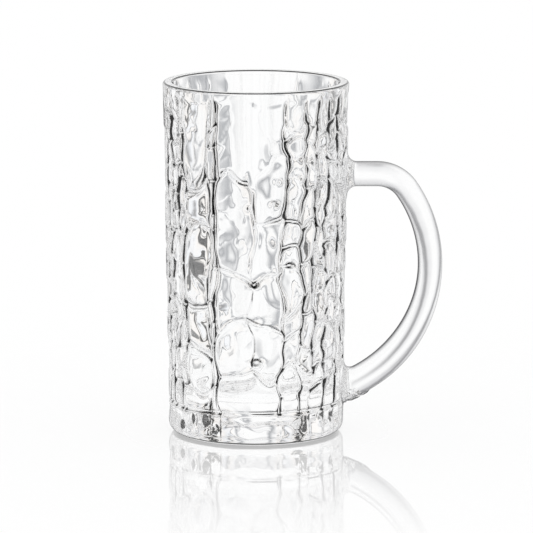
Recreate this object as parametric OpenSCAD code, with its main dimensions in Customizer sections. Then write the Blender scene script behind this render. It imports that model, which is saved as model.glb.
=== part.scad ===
// Half litre glass beer mug with a bark relief and an applied D-shaped handle.
// The front is -Y, the handle points along +X and the foot stands on Z = 0.

/* [Mug] */
// Height from the table to the top of the lip
mug_h = 158; // [144:1:172]
// Outer diameter of the wall at the lip
rim_d = 83; // [79:0.5:90]
// Outer diameter of the wall at the table
foot_d = 78.2; // [75:0.5:84]
// Thickness of the wall at the lip
lip_t = 4.7; // [4.2:0.1:6]
// Thickness of the wall at the cup's floor
heel_t = 6.4; // [5:0.1:9]
// Thickness of the solid glass foot under the cup
floor_t = 18; // [14:0.5:24]
// Inner corner radius between the cup's wall and its floor
floor_r = 6; // [3:0.5:9]
// Rounding of the lip's outer and inner edges
lip_r = 1.3; // [0.7:0.1:1.9]
// Rounding of the foot's outer edge
foot_r = 4.6; // [3:0.1:6]
// Width of the flat ring that the mug stands on
ring_w = 4; // [2:0.5:8]
// Depth of the shallow hollow under the foot
punt_h = 2; // [1:0.1:4]

/* [Bark relief] */
// Height of the plain band between the table and the bark
foot_band = 14.4; // [11:0.2:17]
// Height of the plain band under the lip
rim_band = 3; // [2:0.5:8]
// Depth of the furrows that run up the wall
furrow_h = 1.6; // [0.8:0.1:2]
// Distance from a furrow's bottom to its shoulder
furrow_w = 1.2; // [0.8:0.1:1.6]
// Depth of the cracks that cross each strip of bark
crack_h = 1.2; // [0.6:0.1:1.8]
// Distance from a crack's bottom to its shoulder
crack_w = 1.3; // [0.8:0.1:1.8]
// How far each strip of bark bulges between its furrows
crown_h = 0.5; // [0.2:0.1:0.8]
// How far a furrow wanders to either side
wander = 1.4; // [0.5:0.1:1.8]
// Height of the furrows' slow wave
long_wave = 58; // [40:1:80]
// Height of the furrows' quick wave
short_wave = 22.5; // [18:0.5:34]
// Swell of the glass over several strips
swell_h = 0.3; // [0:0.05:0.5]
// Height of that swell's wave
swell_wave = 47; // [30:1:80]

/* [Handle] */
// Height of the upper arm's middle
arm_z = 116.3; // [108:0.1:122]
// Clear width for the fingers where the handle is widest
finger_gap = 32.2; // [26:0.1:38]
// Height of the handle's furthest point
bow_z = 75.6; // [70:0.1:82]
// Radius of the long bow of the handle, at its middle
bow_r = 59.5; // [52:0.5:64]
// Radius of the upper corner of the handle, at its middle
corner_r = 16; // [12:0.5:24]
// Thickness of the handle, from the finger side to the outside
grip_t = 10.9; // [9:0.1:13]
// Width of the handle, from its left to its right
grip_w = 14.6; // [11:0.1:18]
// How much thicker the handle is at its lower end
tail_t = 1.8; // [0:0.1:4]
// Fillet where the handle flows into the wall
root_r = 4.2; // [2:0.1:6]
// Gap between the handle's seats and the wall
seat_gap = 0.02; // [0.01:0.01:0.05]

/* [Hidden] */
$fn = 96;
cut_over = 1;
glass_tint = [0.84, 0.92, 0.94, 0.5];

// The bark repeats once in each half turn, and this share of a turn leads from the
// handle back to the first furrow
bark_turn = 180;
first_share = -0.321;
// One row for each furrow in a half turn: where it runs, as a share of the half turn,
// how far it leans at the top, as a share of the wander, where its waves start, as a
// share of a wave, and between which shares of the bark's height it runs
furrow_shares = [
    [0.000, 0.0, 0.93, 0.00, 1.00],
    [0.125, 1.0, 0.60, 0.44, 0.74],
    [0.230, 3.6, 0.28, 0.00, 1.00],
    [0.305, 3.4, 0.05, 0.00, 1.00],
    [0.360, 3.0, 0.46, 0.00, 1.00],
    [0.420, 1.8, 0.12, 0.00, 1.00],
    [0.490, 0.5, 0.70, 0.00, 1.00],
    [0.550, 0.0, 0.33, 0.00, 1.00],
    [0.610, -0.5, 0.82, 0.00, 1.00],
    [0.665, 0.0, 0.15, 0.00, 1.00],
    [0.720, 0.5, 0.60, 0.00, 1.00],
    [0.775, 0.0, 0.40, 0.00, 1.00],
    [0.825, -0.6, 0.95, 0.00, 1.00],
    [0.875, -0.4, 0.50, 0.00, 1.00],
    [0.960, -0.8, 0.66, 0.00, 1.00],
];
// The cracks across each strip of bark, as shares of the bark's height
crack_shares = [
    [0.115, 0.27, 0.445, 0.745],
    [0.12, 0.275, 0.427, 0.63],
    [0.055, 0.25, 0.455, 0.61, 0.73, 0.87],
    [0.08, 0.21, 0.32, 0.48, 0.60, 0.85],
    [0.14, 0.30, 0.45, 0.59, 0.73, 0.89],
    [0.145, 0.26, 0.41, 0.62, 0.855],
    [0.10, 0.33, 0.52, 0.70, 0.92],
    [0.20, 0.38, 0.60, 0.80],
    [0.12, 0.30, 0.50, 0.68, 0.88],
    [0.17, 0.40, 0.57, 0.77],
    [0.12, 0.28, 0.41, 0.57, 0.70, 0.85],
    [0.19, 0.34, 0.46, 0.625, 0.78, 0.91],
    [0.07, 0.20, 0.34, 0.46, 0.57, 0.73, 0.87],
    [0.08, 0.19, 0.34, 0.58, 0.73],
    [0.085, 0.21, 0.355, 0.46, 0.585, 0.73, 0.85],
];
// How steeply the cracks slant, as a share of the strip's width, one after the other
slant_shares = [0.20, 0.50, -0.40, -0.12, -0.50, 0.10];
// Share of a strip between its furrow and the first point on a strip without a crown
narrow_share = 0.33;
// Strips under the first share of the half turn have no crown, and over the second
// have three points across it
narrow_strip_share = 0.045;
wide_strip_share = 0.12;
// Share of its depth that a furrow keeps in the plain band above the foot
foot_furrow_share = 0.35;
// Share of its depth that a furrow keeps in the plain band under the lip
rim_furrow_share = 0.2;
// Share of the short wave in the furrows' wandering
short_wave_share = 0.45;
// Share of the land round a handle's seat over which the bark fades in
land_fade_share = 0.3;
// Share of the bark's height over which a short furrow fades out at its ends
end_fade_share = 0.05;
// Share of the swell's wave by which it turns with height
swell_turn_share = 0.3;

groove_fall = 3;
bark_rows = 42;
edge_steps = 3;
floor_steps = 8;
swell_lobes = 5;
strips = len(furrow_shares);
bark_low = foot_band;
bark_high = mug_h - rim_band;
bark_tall = bark_high - bark_low;
row_pitch = bark_tall / bark_rows;
mean_r = (rim_d + foot_d) / 4;

// Radius of the plain wall at a height, before the relief is cut into it
function wall_r(z) = (foot_d + (rim_d - foot_d) * z / mug_h) / 2;

function clamp(x, low, high) = min(max(x, low), high);
function smooth(x) = let (t = clamp(x, 0, 1)) t * t * (3 - 2 * t);
// The length of an arc on the mean wall, in degrees, and the reverse
function arc_deg(length) = length / mean_r * 180 / PI;
function deg_arc(angle) = angle * PI / 180 * mean_r;

// Cross section of a groove with a rounded bottom: 1 at its bottom, a quarter at its
// shoulder and falling away past it
function groove(away, width) = 1 / (1 + groove_fall * pow(away / width, 2));

function bark_share(z) = clamp((z - bark_low) / bark_tall, 0, 1);

// Angle of a furrow at a height. Furrows past the last one lie in the other half turn.
function furrow_deg(i, z) =
    let (
        row = furrow_shares[i % strips],
        half = floor(i / strips),
        held_z = clamp(z, bark_low, bark_high),
        slow = sin(360 * (held_z / long_wave + row[2])),
        quick = sin(360 * (held_z / short_wave + 2 * row[2])),
        lean = row[1] * pow(bark_share(z), 3)
    )
    360 * first_share + bark_turn * (half + row[0])
        + arc_deg(wander * (lean + slow + short_wave_share * quick) / (1 + short_wave_share));

function strip_share(i) =
    let (k = i % strips)
    (k == strips - 1 ? 1 : furrow_shares[k + 1][0]) - furrow_shares[k][0];

// Points across a strip, as shares of its width, from its own furrow to the next
function across_shares(i) =
    let (
        share = strip_share(i),
        shoulder = furrow_w / deg_arc(share * bark_turn)
    )
    share < narrow_strip_share ? [0, narrow_share, 1 - narrow_share]
    : share < wide_strip_share ? [0, shoulder, 1 / 2, 1 - shoulder]
    : [0, shoulder, 1 / 4, 1 / 2, 3 / 4, 1 - shoulder];

// Every column of points round the mug, as its strip and its share across it
columns = [for (i = [0 : 2 * strips - 1]) for (t = across_shares(i)) [i, t]];

function crack_z(i, n, t) =
    let (
        k = i % strips,
        slant = slant_shares[(3 * k + n) % len(slant_shares)]
    )
    bark_low + bark_tall * crack_shares[k][n]
        + slant * (t - 1 / 2) * deg_arc(strip_share(i) * bark_turn);

// Strength of a furrow at a height: 1 where it runs, and 0 past its ends
function furrow_strength(i, z) =
    let (
        row = furrow_shares[i % strips],
        share = bark_share(z),
        above = row[3] == 0 ? 1 : smooth((share - row[3]) / end_fade_share),
        below = row[4] == 1 ? 1 : smooth((row[4] - share) / end_fade_share)
    )
    above * below;

// Signed distance to the nearest crack of a strip
function crack_off(i, t, z) =
    let (
        offs = [for (n = [0 : len(crack_shares[i % strips]) - 1]) z - crack_z(i, n, t)],
        nearest = min([for (d = offs) abs(d)])
    )
    [for (d = offs) if (abs(d) == nearest) d][0];

// Rows are even up the wall, but next to a crack they move to its bottom and shoulders.
// The points of a furrow stay even, because two strips with other cracks share them.
function row_z(i, t, k) =
    let (
        even = bark_low + k * row_pitch,
        off = crack_off(i, t, even),
        rows_off = abs(off) / row_pitch
    )
    t == 0 && furrow_strength(i, even) > 1 / 2 ? even
    : k == 0 || k == bark_rows || rows_off > 3 / 2 ? even
    : rows_off < 1 / 2 ? even - off
    : even - off + sign(off) * min(crack_w, row_pitch);

// Slow swell of the glass, which makes the wide plates uneven
function swell(angle, z) =
    swell_h / 2 * (1 + sin(swell_lobes * angle + 360 * swell_turn_share * z / swell_wave)
        * sin(360 * z / swell_wave));

// How much of the bark is left beside a seat of the handle: 0 on the seat, 1 clear of it
function off_seat(angle, z, seat_z, half_h, half_w) =
    let (
        side = deg_arc((angle + 540) % 360 - 180) / half_w,
        up = (z - seat_z) / half_h
    )
    smooth((norm([side, up]) - 1) / land_fade_share);

function bark_left(angle, z) = min(
    off_seat(angle, z, arm_z, upper_half_h, seat_half_w),
    off_seat(angle, z, tail_z, lower_half_h, seat_half_w)
);

// Depth of the relief at a place on the wall. A crack stops at the furrows beside it.
function bark_depth(i, t, angle, z) =
    let (
        wide = deg_arc(strip_share(i) * bark_turn),
        left = furrow_strength(i, z),
        right = furrow_strength(i + 1, z),
        furrow = max(
            left * groove(wide * t, furrow_w),
            right * groove(wide * (1 - t), furrow_w)
        ),
        crack = groove(abs(crack_off(i, t, z)), crack_w) * (t == 0 ? 1 - left : 1),
        crown = pow(2 * t - 1, 2) * (t < 1 / 2 ? left : right)
    )
    furrow_h - (1 - furrow) * (furrow_h - crack * crack_h) + crown * crown_h
        + swell(angle, z);

// Rows of points from the table to the lip: the foot's rounded edge, the shoulder that
// ends its plain band, the bark, the plain band under the lip and its rounded edge
foot_rows = edge_steps + 2;
lip_rows = edge_steps + 1;
all_rows = foot_rows + bark_rows + 1 + lip_rows;

function wall_point(column, row) =
    let (
        i = column[0],
        t = column[1],
        bark_row = row - foot_rows,
        lip_row = bark_row - bark_rows,
        low = row <= edge_steps,
        band_end = bark_row == -1,
        high = lip_row > 0,
        turn = low ? 90 * (1 - row / edge_steps) : 90 * (lip_row - 1) / edge_steps,
        z = low ? foot_r * (1 - sin(turn))
            : band_end ? foot_band - 2 * crack_w
            : high ? mug_h - lip_r * (1 - sin(turn))
            : row_z(i, t, bark_row),
        round_in = low ? foot_r * (1 - cos(turn)) : high ? lip_r * (1 - cos(turn)) : 0,
        angle = furrow_deg(i, z) * (1 - t) + furrow_deg(i + 1, z) * t,
        kept = low ? foot_furrow_share * row / edge_steps
            : band_end ? foot_furrow_share
            : high ? 0
            : bark_row == bark_rows ? rim_furrow_share : 1,
        ledge = bark_row == 0 ? crack_h : 0,
        depth = max(bark_depth(i, t, angle, z), ledge) * kept * bark_left(angle, z),
        r = wall_r(z) - round_in - depth
    )
    [r * cos(angle), r * sin(angle), z];

module bark_blank() {
    across = len(columns);
    points = [for (row = [0 : all_rows - 1]) for (c = columns) wall_point(c, row)];
    // Each four-sided patch is split along its deeper diagonal, so that furrows and
    // cracks stay unbroken where they slant from one row to the next
    walls = [
        for (row = [0 : all_rows - 2]) for (c = [0 : across - 1])
            let (
                next = (c + 1) % across,
                a = row * across + c,
                b = row * across + next,
                d = (row + 1) * across + c,
                e = (row + 1) * across + next,
                deep = norm([points[a][0] + points[e][0], points[a][1] + points[e][1]])
                    < norm([points[b][0] + points[d][0], points[b][1] + points[d][1]])
            )
            each (deep ? [[a, e, b], [a, d, e]] : [[a, d, b], [b, d, e]])
    ];
    bottom = [for (c = [0 : across - 1]) c];
    top = [for (c = [across - 1 : -1 : 0]) (all_rows - 1) * across + c];
    polyhedron(points, concat(walls, [bottom, top]));
}

// The space inside the cup. Its wall is a cone, rounded into the floor and, at the lip,
// out over the inner edge.
module cavity() {
    mouth_r = rim_d / 2 - lip_t;
    low_r = wall_r(floor_t) - heel_t;
    floor_arc = [
        for (n = [0 : floor_steps])
            let (turn = 90 * n / floor_steps)
            [low_r - floor_r * (1 - sin(turn)), floor_t + floor_r * (1 - cos(turn))]
    ];
    lip_arc = [
        for (n = [0 : floor_steps])
            let (turn = 90 * n / floor_steps)
            [mouth_r + lip_r * (1 - cos(turn)), mug_h - lip_r * (1 - sin(turn))]
    ];
    rotate_extrude()
        polygon(concat(
            [[0, floor_t]],
            floor_arc,
            lip_arc,
            [[mouth_r + lip_r, mug_h + cut_over], [0, mug_h + cut_over]]
        ));
}

// The shallow hollow under the foot, so that the mug stands on a ring
module punt() {
    punt_r = foot_d / 2 - foot_r - ring_w;
    ball_r = (pow(punt_r, 2) + pow(punt_h, 2)) / (2 * punt_h);
    translate([0, 0, punt_h - ball_r])
        sphere(r = ball_r);
}

// The cup, its bark relief and its solid foot: one blown and pressed piece
module body() {
    color(glass_tint)
        difference() {
            bark_blank();
            cavity();
            punt();
        }
}

// The handle's middle line is a level arm, a tight upper corner and a long bow, each
// tangent to the next
bow_x = wall_r(bow_z) + finger_gap + grip_t / 2;
bow_centre = [bow_x - bow_r, bow_z];
corner_z = arm_z - corner_r;
corner_rise = corner_z - bow_z;
corner_centre = [
    bow_centre[0] + sqrt(pow(bow_r - corner_r, 2) - pow(corner_rise, 2)),
    corner_z,
];
join_deg = atan2(corner_rise, corner_centre[0] - bow_centre[0]);
// The bow ends where it has sunk into the wall as deep as half the handle
sunk_r = wall_r(0) - grip_t / 2;
tail_deg = -acos((sunk_r - bow_centre[0]) / bow_r);
tail_z = bow_z - bow_r * sin(acos((wall_r(0) - bow_centre[0]) / bow_r));
upper_half_h = grip_t / 2 + root_r;
lower_half_h = (grip_t + tail_t) / 2 + root_r;
seat_half_w = grip_w / 2 + root_r;

arm_steps = 8;
corner_steps = 9;
bow_steps = 28;
grip_sides = 20;
// How square the handle's cross section is: 2 is an ellipse
grip_power = 2.4;
// Share of the fillet that is left on the outside of the lower root
tail_fillet_share = 0.35;

// Points of the middle line, each with the direction in which the line runs there
arm_end = corner_centre[0];
arm_start = sunk_r;
middle_line = concat(
    [for (n = [0 : arm_steps - 1])
        [arm_start + (arm_end - arm_start) * n / arm_steps, arm_z, 0]],
    [for (n = [0 : corner_steps - 1])
        let (a = 90 + (join_deg - 90) * n / corner_steps)
        [corner_centre[0] + corner_r * cos(a), corner_centre[1] + corner_r * sin(a), a - 90]],
    [for (n = [0 : bow_steps])
        let (a = join_deg + (tail_deg - join_deg) * n / bow_steps)
        [bow_centre[0] + bow_r * cos(a), bow_centre[1] + bow_r * sin(a), a - 90]]
);

// How far the fillet at the wall stands out from the handle, a quarter of a circle in
// section
function root_flare(away) =
    away >= root_r ? 0 : root_r - sqrt(pow(root_r, 2) - pow(root_r - max(away, 0), 2));

// Share of the way down the bow, from its furthest point to its end
function tail_share(z) = smooth((bow_z - z) / (bow_z - tail_z));

// A ring of points round the middle line. Each point has its own distance to the wall,
// so the fillet is even where the bow comes in at a slant.
function grip_ring(p) =
    let (half_t = (grip_t + tail_t * tail_share(p[1])) / 2)
    [
        for (n = [0 : grip_sides - 1])
            let (
                a = 360 * n / grip_sides,
                round_to = pow(
                    pow(abs(cos(a)), grip_power) + pow(abs(sin(a)), grip_power),
                    1 / grip_power
                ),
                out = cos(a) / round_to,
                side = sin(a) / round_to,
                x = p[0] - half_t * out * sin(p[2]),
                z = p[1] + half_t * out * cos(p[2]),
                kept = 1 - (1 - tail_fillet_share) * tail_share(p[1]) * max(out, 0),
                flare = kept * root_flare(norm([x, grip_w / 2 * side]) - wall_r(z))
            )
            [x - flare * out * sin(p[2]), (grip_w / 2 + flare) * side, z + flare * out * cos(p[2])]
    ];

module grip() {
    rings = len(middle_line);
    points = [for (p = middle_line) each grip_ring(p)];
    sides = [
        for (r = [0 : rings - 2]) for (n = [0 : grip_sides - 1])
            let (
                next = (n + 1) % grip_sides,
                a = r * grip_sides + n,
                b = r * grip_sides + next,
                d = (r + 1) * grip_sides + n,
                e = (r + 1) * grip_sides + next
            )
            each [[a, b, e], [a, e, d]]
    ];
    first = [for (n = [grip_sides - 1 : -1 : 0]) n];
    last = [for (n = [0 : grip_sides - 1]) (rings - 1) * grip_sides + n];
    polyhedron(points, concat(sides, [first, last]));
}

// The handle: one drawn gather of glass, cut to the wall where it is fused on
module handle() {
    color(glass_tint)
        difference() {
            grip();
            cylinder(h = mug_h, r1 = wall_r(0) + seat_gap, r2 = wall_r(mug_h) + seat_gap);
        }
}

body();
handle();
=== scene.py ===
"""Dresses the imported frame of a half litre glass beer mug: a cup with a bark relief and a drawn handle."""

import math

import bpy
import numpy as np
from bpy.props import FloatProperty, FloatVectorProperty, PointerProperty
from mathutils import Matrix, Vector


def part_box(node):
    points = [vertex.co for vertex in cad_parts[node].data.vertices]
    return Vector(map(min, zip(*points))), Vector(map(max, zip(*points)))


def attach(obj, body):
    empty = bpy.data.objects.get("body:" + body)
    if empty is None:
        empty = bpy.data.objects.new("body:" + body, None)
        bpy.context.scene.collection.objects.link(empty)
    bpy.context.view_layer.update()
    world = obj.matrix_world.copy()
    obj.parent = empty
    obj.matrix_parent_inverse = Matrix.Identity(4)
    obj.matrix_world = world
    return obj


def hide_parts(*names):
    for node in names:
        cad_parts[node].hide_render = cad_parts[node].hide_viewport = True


bl_info = {
    "name": "Bark Relief Beer Mug",
    "version": (1, 0, 0),
    "blender": (4, 5, 0),
    "location": "3D View > Sidebar > Beer Mug",
    "description": "Makes a clear glass beer mug with a bark relief, its drawn handle and a white studio",
    "category": "Object",
}

MILLIMETRE = 0.001

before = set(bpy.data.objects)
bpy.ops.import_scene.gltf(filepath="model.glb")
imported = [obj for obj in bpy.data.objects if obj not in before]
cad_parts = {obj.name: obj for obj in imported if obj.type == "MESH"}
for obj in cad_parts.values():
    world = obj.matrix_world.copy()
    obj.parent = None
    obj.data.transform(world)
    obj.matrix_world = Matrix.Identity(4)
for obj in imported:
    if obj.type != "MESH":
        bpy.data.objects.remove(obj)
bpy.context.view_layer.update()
CUP_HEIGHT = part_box("body")[1].z

# From the handle to the bark's first furrow, as a share of a turn
FIRST_SHARE = -0.321
# One row for each furrow in a half turn: where it runs, as a share of the half turn, how far it leans at the
# top, as a share of the wander, where its waves start, as a share of a wave, and between which shares of the
# bark's height it runs
FURROW_SHARES = (
    (0.000, 0.0, 0.93, 0.00, 1.00),
    (0.125, 1.0, 0.60, 0.44, 0.74),
    (0.230, 3.6, 0.28, 0.00, 1.00),
    (0.305, 3.4, 0.05, 0.00, 1.00),
    (0.360, 3.0, 0.46, 0.00, 1.00),
    (0.420, 1.8, 0.12, 0.00, 1.00),
    (0.490, 0.5, 0.70, 0.00, 1.00),
    (0.550, 0.0, 0.33, 0.00, 1.00),
    (0.610, -0.5, 0.82, 0.00, 1.00),
    (0.665, 0.0, 0.15, 0.00, 1.00),
    (0.720, 0.5, 0.60, 0.00, 1.00),
    (0.775, 0.0, 0.40, 0.00, 1.00),
    (0.825, -0.6, 0.95, 0.00, 1.00),
    (0.862, -0.4, 0.50, 0.00, 0.93),
    (0.972, -0.8, 0.66, 0.00, 1.00),
)
# The cracks across each strip of bark, as shares of the bark's height
CRACK_SHARES = (
    (0.115, 0.27, 0.445, 0.745),
    (0.12, 0.275, 0.427, 0.63),
    (0.055, 0.25, 0.455, 0.61, 0.73, 0.87),
    (0.08, 0.21, 0.32, 0.48, 0.60, 0.85),
    (0.14, 0.30, 0.45, 0.59, 0.73, 0.89),
    (0.145, 0.26, 0.41, 0.62, 0.855),
    (0.10, 0.33, 0.52, 0.70, 0.92),
    (0.20, 0.38, 0.60, 0.80),
    (0.12, 0.30, 0.50, 0.68, 0.88),
    (0.17, 0.40, 0.57, 0.77),
    (0.12, 0.28, 0.41, 0.57, 0.70, 0.85),
    (0.19, 0.34, 0.46, 0.625, 0.78, 0.91),
    (0.07, 0.20, 0.34, 0.46, 0.57, 0.73, 0.87),
    (0.08, 0.19, 0.34, 0.58, 0.73),
    (0.085, 0.21, 0.355, 0.46, 0.585, 0.73, 0.85),
)
# Pits and soft hollows in the glass: angle in degrees, then height, half width, half height and depth in
# millimetres
PITS = (
    (-89.6, 37.7, 2.3, 1.6, 1.9),
    (-90.8, 72.3, 1.6, 1.2, 1.4),
    (-76.5, 118.6, 1.4, 1.7, 1.7),
    (-78.4, 108.7, 1.7, 1.6, 1.7),
    (-93.9, 106.9, 1.2, 1.6, 1.1),
    (-67.4, 80.8, 1.6, 1.8, 1.5),
    (-41.5, 145.1, 1.3, 5.0, 1.6),
    (-124.0, 11.0, 1.4, 2.8, 1.9),
    (-117.5, 6.4, 1.9, 1.9, 1.7),
    (-97.9, 9.0, 3.6, 3.4, 0.9),
    (-56.0, 11.6, 1.7, 1.7, 1.7),
    (-57.0, 7.3, 1.5, 1.8, 1.7),
    (-62.0, 3.6, 2.8, 1.0, 1.3),
    (-43.0, 13.0, 1.5, 2.6, 1.6),
    (-134.5, 10.5, 1.0, 3.4, 1.4),
    (-147.0, 6.5, 1.4, 2.2, 1.2),
    (-31.0, 11.0, 1.3, 3.0, 1.3),
    (-92.6, 55.0, 4.4, 3.4, 1.2),
    (-81.5, 51.6, 3.8, 2.8, 1.0),
    (-84.0, 92.0, 3.5, 4.5, 0.9),
    (-100.0, 140.0, 4.0, 7.0, 0.6),
    (-80.0, 131.0, 3.5, 8.0, 0.6),
    (-106.0, 62.0, 3.0, 4.0, 0.6),
    (-92.0, 118.0, 4.5, 5.5, 1.1),
)
# How steeply the cracks slant, as a share of the strip's width, one after the other
SLANT_SHARES = (0.20, 0.50, -0.40, -0.12, -0.50, 0.10)
STRIPS = len(FURROW_SHARES)

# Share of its depth that a furrow keeps in the plain bands above the foot and under the lip
FOOT_FURROW_SHARE = 0.2
RIM_FURROW_SHARE = 0.1
# The shallow furrows, and the share of the depth that each has
SHALLOW_FURROWS = {1: 0.6, 13: 0.72}
# Strength of a furrow, how far it changes along the furrow, the length of that wave, and its limits
FURROW_STRENGTH = 0.72
FURROW_CHANGE = 0.5
FURROW_CHANGE_WAVE = 0.011
FURROW_LIMITS = (0.2, 1.15)
# How much stronger a furrow is where plates end beside it
KNOT_STRENGTH = 0.3
# Height of the furrows' quick wave, as a share of the slow one
SHORT_WAVE_SHARE = 0.45
# How far a furrow jogs to either side, and its waves: a share, a length and a seed
JOG = 0.001
JOG_WAVES = ((1.2, 0.0095, 0.0), (0.4, 0.0042, 1.9))
# Beside strips narrower than this a furrow jogs less, so that it doesn't meet the next one
JOG_ROOM = 0.006
# How wide the plain land round a root fades, as a share of the root
LAND_FADE_SHARE = 0.3
# How long a furrow's end fades, as a share of the bark's height
END_FADE_SHARE = 0.05
# The swell's lobes round the cup, and how far they turn on the way up
SWELL_LOBES = 5
SWELL_TURN_SHARE = 0.3
# How steeply the flanks of a groove fall
GROOVE_FALL = 1.8

# The strips with broad cracks, and how much broader they are
BROAD_CRACK_STRIPS = (0, 13)
BROAD_CRACK = 1.6
# Strength of a crack, and its limits along the crack
CRACK_STRENGTH = 0.9
CRACK_LIMITS = (0.3, 1.15)
# Depth of the main cracks and of those between short plates, as shares: the middle, and how far it varies
MAIN_DEPTH = (0.7, 0.3)
SHORT_DEPTH = (0.6, 0.4)
# How far a main crack bows at most, and how far one between short plates bows and slants, as shares of the
# strip's width
BOW_SHARE = 0.3
SHORT_BOW_SHARE = 0.6
SHORT_SLANT_SHARE = 1.1
# How far a short plate's end strays, as a share of the plate
SHORT_STRAY_SHARE = 0.3

# How far the furrows bow out round each plate, as a share of the plate's width, which counts up to a limit,
# and how full the bow is: less is fuller
BULGE_SHARE = 0.11
BULGE_WIDTH = 0.0085
BULGE_POWER = 0.7
# Strips narrower than this have short plates, about this long
NARROW_STRIP = 0.0098
SHORT_PLATE = 0.012
# How far in from its edges a plate is pillowed, how steeply, and the limit of it where two edges meet
PILLOW_REACH = 0.0045
PILLOW_POWER = 2.2
PILLOW_LIMIT = 1.2
# The strip whose plates are domed like long drops, how much further in they curve, and how much higher
DOMED_STRIP = 13
DOMED_REACH = 1.5
DOMED_CROWN = 1.8
# How far single plates stand higher or lower
PLATE_LIFT = 0.0005
# Share of the skin's waves that is lost at the bottom of a furrow
FURROW_CALM = 0.6

# Smooth waves: how strong, as a share or in metres, how long across the wall and along it, and a seed
FURROW_WIDTH_WAVE = (0.45, 0.004, 0.011, 1.7)
FURROW_DEPTH_WAVE = (0.2, 0.006, 0.016, 4.2)
CRACK_WAVE = (0.7, 0.007, 0.012, 3.7)
STRAY_WAVE = (0.0008, 0.0042, 0.02, 5.9)
WIDE_STRAY_WAVE = (0.0024, 0.0065, 0.03, 5.9)
DOMED_SKIN = ((0.00025, 0.011, 0.014, 7.7), (0.00006, 0.004, 0.006, 2.9))
WIDE_SKIN = ((0.00085, 0.011, 0.014, 7.7), (0.00012, 0.004, 0.006, 2.9))
NARROW_SKIN = ((0.0003, 0.0065, 0.011, 7.7), (0.00006, 0.004, 0.006, 2.9))
FOOT_SKIN = ((0.0006, 0.0075, 0.0065, 3.3), (0.0002, 0.004, 0.004, 8.8))
CRINKLE_FOLDS = (1, 0.0018, 0.0022, 4.4)

# Below the bark the skin's bumps fade in over this height
FOOT_FADE = 0.003
# Depth of the ledge above the foot band, as a share of the cracks' depth
LEDGE_DEPTH = 1.3

# Rows of points: in the foot's rounding, the foot band, the bark, the rim band and half of the lip's rounding
FOOT_ROUNDING_ROWS = 9
FOOT_BAND_ROWS = 8
BARK_ROWS = 252
RIM_ROWS = 3
LIP_ROWS = 7
# Rows of points in the straight bore, the rounding of the cup's floor and the hollow under the foot, and the
# radii of the rows of the cup's floor, as shares
BORE_ROWS = 5
FLOOR_ROUNDING_ROWS = 9
PUNT_ROWS = 9
FLOOR_ROW_SHARES = (0.8, 0.6, 0.4, 0.2)
# Distance between the columns of points on the front and the back. The front is where the sine is less
FRONT_PITCH = 0.00075
BACK_PITCH = 0.001
FRONT_SINE = -0.3
FEWEST_COLUMNS = 8
# How much the columns crowd towards the furrows, from 0 to 1
CROWDING = 0.6
# Points this near to a root's outline, as a share of the root, move onto it
ROOT_SNAP = 0.04

# How square the handle's cross section is: 2 is an ellipse
GRIP_POWER = 2.4
# Points round the handle, and rings of points in each fillet and along the rest
HANDLE_SIDES = 64
HANDLE_FILLET_RINGS = 12
HANDLE_LONG_RINGS = 150
# How far along the handle the search for each root's rings goes, as shares, and its number of halvings
UPPER_SEARCH = 0.2
LOWER_SEARCH = 0.75
HALVINGS = 40
# Share of the fillet that is left on the outside of the lower root
TAIL_FILLET_SHARE = 0.35
# How far from the wall the crinkled skin under the lower root reaches, and over which distance it fades in
CRINKLE_REACH = 0.0115
CRINKLE_START = 0.0012
# How far the wedge of crinkled skin spreads round the handle at the wall, how fast it narrows, and how
# steeply the skin rises at the wedge's edge
CRINKLE_SPREAD = 0.1
CRINKLE_TAPER = 0.95
CRINKLE_RISE = 3
# How much of the crinkled skin's height stays between the folds
CRINKLE_BASE = 0.3

# The cup's materials, in their order on the piece
BARK_SLOT, WELD_SLOT, BORE_SLOT, LIP_SLOT, FOOT_SLOT = range(5)
# How fine the faint waves in the skin of the bark's glass and of other glass are
BARK_WAVES = 90
PLAIN_WAVES = 60
# How much plainer the wall is where light leaves the bark, so that the back doesn't blur the front
BARK_CALM = 0.8
# How rough the drawn handle is, and how much earlier the painted shade on its side towards the cup begins
HANDLE_ROUGHNESS = 0.1
HANDLE_INNER = 0.14
# The grazing shares at which the painted edge shade in a glass's colour begins, is half dark and is nearly
# black
BARK_EDGES = (0.78, 0.87, 0.95)
LIP_EDGES = (0.84, 0.88, 0.93)
FOOT_EDGES = (0.7, 0.82, 0.94)
HANDLE_EDGES = (0.42, 0.64, 0.86)
PRESSED_EDGES = (0.3, 0.55, 0.78)
# Colours of the painted edge shade where it is half dark and where it is darkest
HALF_DARK = (0.5, 0.5, 0.51)
NEARLY_BLACK = (0.05, 0.05, 0.055)
# This painted shade, a nearly black matte sheet, covers the glass's outermost grazing edge, from none of it
# where the painted edge shade is half dark up to a share of it, which it reaches this far past nearly black
PAINTED_EDGE_SHADE_COLOUR = (0.03, 0.03, 0.035, 1)
EDGE_SHARE = 0.85
EDGE_SPAN = 0.1
# How light the painted shade in creases, at rounded edges and on the flanks of pits leaves a glass at each
# share of steepness
BARK_CREASES = ((0.12, 1), (0.18, 0.3), (0.24, 0))
LIP_CREASES = ((0.12, 1), (0.25, 0), (0.7, 0), (0.85, 1))
FOOT_CREASES = ((0.28, 1), (0.38, 0), (1, 0))
FOOT_PITS = ((0.27, 1), (0.33, 0.03), (0.46, 0.01), (0.62, 0.05))

# The tent's colours as clear glass sees them, from the middle of a white part to the middle of a dark band
BAND_COLOURS = (
    (0.085, (1, 1, 1)),
    (0.135, (0.4, 0.41, 0.43)),
    (0.18, (1, 1, 1)),
    (0.26, (1, 0.97, 0.94)),
    (0.29, (0.25, 0.25, 0.26)),
    (0.32, (0.95, 0.97, 1)),
    (0.43, (1, 0.96, 0.92)),
    (0.45, (0.02, 0.02, 0.02)),
    (0.5, (0.02, 0.02, 0.02)),
)
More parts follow.
